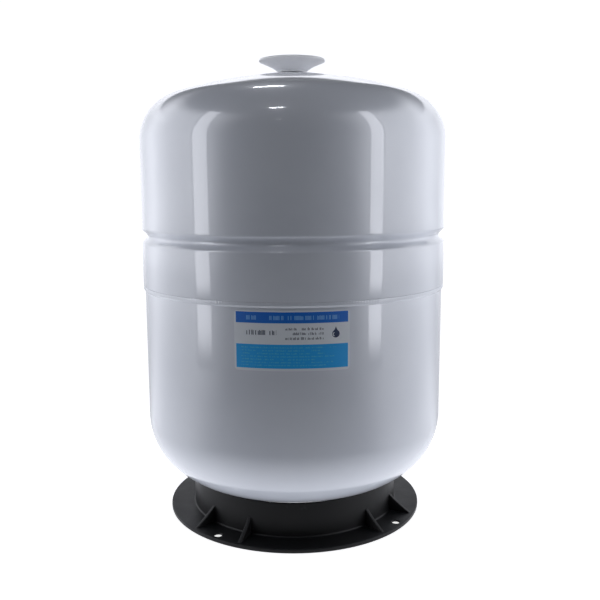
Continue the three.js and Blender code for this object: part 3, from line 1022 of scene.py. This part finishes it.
def core_barrel():
    bore = 1.3 * MM
    throat = 0.9 * MM
    nose = BARREL_RADIUS - 0.1 * MM
    groove = 1.9 * MM
    low = 4 * MM
    groove_foot = 5 * MM
    groove_top = 7 * MM
    thread_foot = 9.2 * MM
    thread_top = 13.4 * MM
    bore_top = 13.2 * MM
    high = 13.8 * MM
    outline = [
        (throat, low),
        (nose, low),
        (nose, groove_foot),
        (groove, groove_foot),
        (groove, groove_top),
        (BARREL_RADIUS, groove_top),
        *rungs(BARREL_RADIUS, thread_foot, thread_top, 0.075 * MM),
        (BARREL_RADIUS, high),
        (throat, high),
        (throat, bore_top),
        (bore, bore_top),
        (bore, LEDGE),
        (throat, LEDGE),
    ]
    swell = thread(BARREL_RADIUS, 0.28 * MM, 0.705 * MM, thread_foot, thread_top)
    valve_piece("core_barrel", softened(outline, 0.08 * MM, 2), 96, swell)


def core_seal():
    bore = 2 * MM
    rim = BARREL_RADIUS + 0.05 * MM
    low = 5.1 * MM
    taper_top = 5.5 * MM
    high = 6.9 * MM
    outline = [(bore, low), (rim - 0.2 * MM, low), (rim, taper_top), (rim, high), (bore, high)]
    valve_piece("core_seal", softened(outline, 0.1 * MM))


def core_pin():
    cup = 1.7 * MM
    collar = 1.15 * MM
    low = 2.1 * MM
    cup_top = 2.9 * MM
    collar_top = 13 * MM
    tip = 14.8 * MM
    outline = [
        (0, low),
        (cup, low),
        (cup, cup_top),
        (PIN_RADIUS, cup_top),
        (PIN_RADIUS, COLLAR_FOOT),
        (collar, COLLAR_FOOT),
        (collar, collar_top),
        (PIN_RADIUS, collar_top),
        (PIN_RADIUS, tip),
        (0, tip),
    ]
    valve_piece("core_pin", softened(outline, 0.2 * MM), 64)


def core_pin_seal():
    bore = PIN_RADIUS + 0.1 * MM
    rim = 1.8 * MM
    low = 3 * MM
    high = 3.9 * MM
    outline = [(bore, low), (rim, low), (rim, high), (bore, high)]
    valve_piece("core_pin_seal", softened(outline, 0.15 * MM), 64)


def core_spring():
    """Coil of round wire between the barrel's ledge and the pin's collar; it shortens with the pin."""
    wire = 0.14 * MM
    turns = 5
    low = LEDGE + wire + 0.1 * MM
    high = COLLAR_FOOT - wire - 0.1 * MM
    radius = (PIN_RADIUS + 1.3 * MM) / 2
    around = 10
    steps = turns * 28
    climb = (high - low) / (turns * 2 * math.pi * radius)
    mesh_data = bmesh.new()
    rings = []
    for i in range(steps + 1):
        angle = 2 * math.pi * turns * i / steps
        outwards = Vector((math.cos(angle), math.sin(angle), 0))
        along = Vector((-math.sin(angle), math.cos(angle), climb)).normalized()
        up = along.cross(outwards)
        centre = outwards * radius + Vector((0, 0, low + (high - low) * i / steps))
        spokes = [2 * math.pi * j / around for j in range(around)]
        points = [centre + (outwards * math.cos(a) + up * math.sin(a)) * wire for a in spokes]
        rings.append([mesh_data.verts.new(point) for point in points])
    for here, there in zip(rings, rings[1:]):
        for j in range(around):
            k = (j + 1) % around
            mesh_data.faces.new((here[j], here[k], there[k], there[j]))
    mesh_data.faces.new(rings[0])
    mesh_data.faces.new(rings[-1])
    piece = finished("core_spring_fine", mesh_data)
    piece.data.transform(VALVE_FRAME)
    ends = [VALVE_FRAME @ Vector((0, 0, z)) for z in (low, high)]
    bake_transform(piece, BODY_OF["core_barrel"], BODY_OF["core_pin"], *ends)
    stands_for(piece, "core_spring", FINISH["spring_steel"])


def rungs_by_share(low, high, count):
    """Pairs of the share climbed and the height."""
    return [(i / count, low + (high - low) * i / count) for i in range(count + 1)]


def valve_cap():
    """Screw cap with a ribbed grip and a crowned top."""
    bore = STEM_RADIUS + 0.3 * MM
    radius = 7.5 * MM
    low = HEX_TOP + 0.4 * MM
    bore_top = STEM_TIP + 1.15 * MM
    high = bore_top + 1.5 * MM
    grip_foot = low + 0.9 * MM
    grip_top = high - 1.6 * MM
    ribs = 28
    rib_depth = 0.42 * MM
    run_out = 0.5 * MM

    def swell(r, angle, z):
        if r < radius - 0.45 * MM or not grip_foot < z < grip_top + 0.02 * MM:
            return r
        fade = min(1, (z - grip_foot) / run_out, (grip_top - z) / run_out + 0.04)
        return r - rib_depth * fade * (1 - abs(math.cos(ribs * angle / 2)) ** 0.7)

    outline = [
        (0, bore_top),
        (bore, bore_top),
        (bore, low),
        (radius, low),
        *[(radius - 0.2 * MM * t, z) for t, z in rungs_by_share(low + 0.8 * MM, grip_top, 16)],
        (radius - 0.3 * MM, high - MM),
        (radius - 1.3 * MM, high),
        (0, high),
    ]
    valve_piece("valve_cap", softened(outline, 0.35 * MM), ribs * 12, swell)


def valve_cap_seal():
    bore = 1.4 * MM
    rim = 3.9 * MM
    low = STEM_TIP + 0.15 * MM
    high = STEM_TIP + 0.95 * MM
    outline = [(bore, low), (rim, low), (rim, high), (bore, high)]
    valve_piece("valve_cap_seal", softened(outline, 0.15 * MM), 64)


# ---- Studio ----

CAMERA_DISTANCE = 5.196 * TANK_RADIUS
CAMERA_HEIGHT = 2.206 * TANK_RADIUS
CAMERA_DOWN = math.radians(8.71)
CAMERA_ROLL = math.radians(0.36)
DAYLIGHT = colour(0.97, 0.985, 1.05)
BACKDROP = 1.06
CEILING = 1.6
BOX_FOOT = 0.03
BOX_HEIGHT = 0.74
# Name, azimuth in degrees, distance from the tank's axis, width and radiance.
SOFT_BOXES = (
    ("left_box", -62.2, 0.595, 0.142, 5.0),
    ("right_box", 55.9, 0.60, 0.122, 5.4),
)
# Name, x, y, length, width and radiance.
CEILING_LAMPS = (
    ("back_lamp", -0.175, 0.66, 0.25, 0.07, 36.0),
    ("front_lamp", -0.255, -0.915, 0.26, 0.08, 32.0),
    ("far_lamp", -0.42, -2.25, 0.2, 0.07, 12.0),
)


def camera():
    """Camera a little above the tank's middle, looking slightly down."""
    data = bpy.data.cameras.new("camera")
    data.sensor_width = 36
    data.lens = 46.2
    data.shift_x = 0.0108
    made = bpy.data.objects.new("camera", data)
    look = Matrix.Rotation(math.pi / 2 - CAMERA_DOWN, 4, "X") @ Matrix.Rotation(-CAMERA_ROLL, 4, "Z")
    made.matrix_world = Matrix.Translation((0, -CAMERA_DISTANCE, CAMERA_HEIGHT)) @ look
    bpy.context.scene.collection.objects.link(made)
    bpy.context.scene.camera = made


def shaped_glow(material, strength):
    """Turns a material into daylight of a given strength."""
    tree = material.tree
    tree.nodes.remove(material.shader)
    glow = tree.nodes.new("ShaderNodeEmission")
    glow.inputs["Color"].default_value = DAYLIGHT
    plug(tree, glow.inputs["Strength"], strength)
    tree.links.new(glow.outputs[0], tree.nodes["Material Output"].inputs["Surface"])


def flat_panel(name, width, height):
    """Upright rectangle of the studio, with its foot at height 0 and its width along X."""
    mesh_data = bmesh.new()
    corners = [(-width / 2, 0), (width / 2, 0), (width / 2, height), (-width / 2, height)]
    mesh_data.faces.new([mesh_data.verts.new((x, 0, z)) for x, z in corners])
    mesh = bpy.data.meshes.new(name)
    mesh_data.to_mesh(mesh)
    mesh_data.free()
    panel = bpy.data.objects.new(name, mesh)
    bpy.context.scene.collection.objects.link(panel)
    return panel


def unseen(panel):
    """Hides a light from the camera, and keeps it to what the tank mirrors."""
    panel.visible_camera = False
    panel.visible_diffuse = False


def soft_box(name, azimuth, distance, width, radiance):
    """Strip light that faces the tank's axis; azimuth 0 is the camera's side and 90 is +X."""
    box = flat_panel(name, width, BOX_HEIGHT)
    m = Material(name)
    edge = m.axis("X").math("ABSOLUTE").ramp(width * 0.36, width * 0.5, 1.0, 0.0)
    fade_in = m.axis("Z").ramp(0.0, 0.08)
    shaped_glow(m, edge * fade_in * radiance)
    box.data.materials.append(m.made)
    turn = Matrix.Rotation(math.radians(azimuth), 4, "Z")
    box.matrix_world = turn @ Matrix.Translation((0, -distance, BOX_FOOT))
    unseen(box)


def ceiling_lamp(name, x, y, length, width, radiance):
    """Small lamp under the studio's ceiling."""
    lamp = flat_panel(name, length, width)
    m = Material(name)
    shaped_glow(m, m.axis("X").math("ABSOLUTE").ramp(length * 0.4, length * 0.5, radiance, 0.0))
    lamp.data.materials.append(m.made)
    lamp.matrix_world = Matrix.Translation((x, y, CEILING)) @ Matrix.Rotation(math.pi / 2, 4, "X")
    unseen(lamp)


def cap_light():
    """Soft panel low in front that lights nothing but the cap."""
    size = 0.3
    distance = 0.6
    height = 0.08
    radiance = 3.3
    panel = flat_panel("cap_light", size, size)
    m = Material("cap_light")
    shaped_glow(m, m.axis("Z").ramp(0.0, 0.06, 0.0, radiance))
    panel.data.materials.append(m.made)
    panel.matrix_world = Matrix.Translation((0, -distance, height))
    panel.visible_camera = False
    receivers = bpy.data.collections.new("lit_by_cap_light")
    receivers.objects.link(bpy.data.objects["port_cap_fine"])
    panel.light_linking.receiver_collection = receivers


def wall_light(x, y):
    """Side and back walls' light from a direction: dark in front, bright at the sides, softer behind."""
    skew = 0.06
    side_strength = 2.1
    backwards = x * skew + y
    side = backwards.ramp(-0.78, -0.34, 0.0, side_strength) * backwards.ramp(0.42, 0.76, 1.0, 0.0)
    back = backwards.ramp(0.16, 0.25, 0.0, 0.12) + backwards.ramp(0.35, 0.85)
    return side, back


def floor():
    """Wide pale floor, close to white for the camera. Other rays see it bright round the tank's foot
    but dark in front, and lit like the walls farther away."""
    size = 30 * TANK_RADIUS
    ground = flat_panel("floor", 2 * size, 2 * size)
    lying = Matrix.Rotation(math.pi / 2, 4, "X")
    ground.matrix_world = Matrix.Translation((0, size, -0.1 * MM)) @ lying
    m = Material("floor_paper", Roughness=0.8)
    tone = m.noise(40 * MM, 2.0)
    m.set(Base_Color=m.mix(tone, colour(0.80, 0.80, 0.81), colour(0.84, 0.84, 0.85)))
    m.set(Emission_Color=colour(1, 1, 1), Emission_Strength=0.86)
    tree = m.tree
    geometry = tree.nodes.new("ShaderNodeNewGeometry").outputs["Position"]
    across = m.add("ShaderNodeSeparateXYZ", "X", {"Vector": Wire(tree, geometry)})
    depth = m.add("ShaderNodeSeparateXYZ", "Y", {"Vector": Wire(tree, geometry)})
    away = (across * across + depth * depth).math("SQRT")
    glow = tree.nodes.new("ShaderNodeEmission")
    glow.inputs["Color"].default_value = DAYLIGHT
    near = away.ramp(0.14, 0.30, 1.0, 0.0) * depth.ramp(-0.32, -0.12)
    side, back = wall_light(across / away, depth / away)
    far = away.ramp(0.15, 0.32) * away.ramp(0.5, 3.0, 0.52, 1.0) * (side + back)
    plug(tree, glow.inputs["Strength"], near * 1.05 + far + 0.03)
    camera_ray = tree.nodes.new("ShaderNodeLightPath").outputs["Is Camera Ray"]
    choice = tree.nodes.new("ShaderNodeMixShader")
    tree.links.new(camera_ray, choice.inputs[0])
    tree.links.new(glow.outputs[0], choice.inputs[1])
    tree.links.new(m.shader.outputs[0], choice.inputs[2])
    tree.links.new(choice.outputs[0], tree.nodes["Material Output"].inputs["Surface"])
    ground.data.materials.append(m.made)


def surroundings():
    """White backdrop for the camera. The tank mirrors one room, and a softer one lights it."""
    world = bpy.data.worlds.new("studio")
    bpy.context.scene.world = world
    world.use_nodes = True
    tree = world.node_tree
    tree.nodes.clear()
    direction = tree.nodes.new("ShaderNodeTexCoord").outputs["Generated"]
    split = tree.nodes.new("ShaderNodeSeparateXYZ")
    tree.links.new(direction, split.inputs[0])
    x = Wire(tree, split.outputs["X"])
    y = Wire(tree, split.outputs["Y"])
    z = Wire(tree, split.outputs["Z"])
    rays = tree.nodes.new("ShaderNodeLightPath")
    camera_ray = Wire(tree, rays.outputs["Is Camera Ray"])
    diffuse_ray = Wire(tree, rays.outputs["Is Diffuse Ray"])
    side, back = wall_light(x, y)
    rim = z.ramp(0.41, 0.45, 1.0, 0.0) * z.ramp(0.28, 0.38, 1.0, 1.4)
    mirrored = side * z.ramp(0.55, 0.72, 1.0, 0.0) + back * rim
    cast = side * z.ramp(0.0, 0.32, 1.0, 0.1) + back * z.ramp(0.05, 0.35, 0.7, 0.0)
    ceiling = z.ramp(0.4, 0.9, 0.072, 0.04)
    room = mirrored + (cast - mirrored) * diffuse_ray + ceiling
    seen = camera_ray * BACKDROP + (camera_ray * -1.0 + 1.0) * room
    background = tree.nodes.new("ShaderNodeBackground")
    background.inputs["Color"].default_value = DAYLIGHT
    plug(tree, background.inputs["Strength"], seen)
    output = tree.nodes.new("ShaderNodeOutputWorld")
    tree.links.new(background.outputs[0], output.inputs[0])


def studio():
    camera()
    floor()
    surroundings()
    for box in SOFT_BOXES:
        soft_box(*box)
    for lamp in CEILING_LAMPS:
        ceiling_lamp(*lamp)
    cap_light()
    bpy.context.scene.view_settings.view_transform = "Standard"


# ---- Assembly ----

upper_shell()
lower_shell()
seam_weld()
liner()
diaphragm()
clench_ring()
water_port()
port_o_ring()
port_lock_ring()
port_cap()
base_stand()
front_label()
valve_boss()
valve_body_o_ring()
valve_body()
core_barrel()
core_seal()
core_pin()
core_pin_seal()
core_spring()
valve_cap()
valve_cap_seal()
studio()
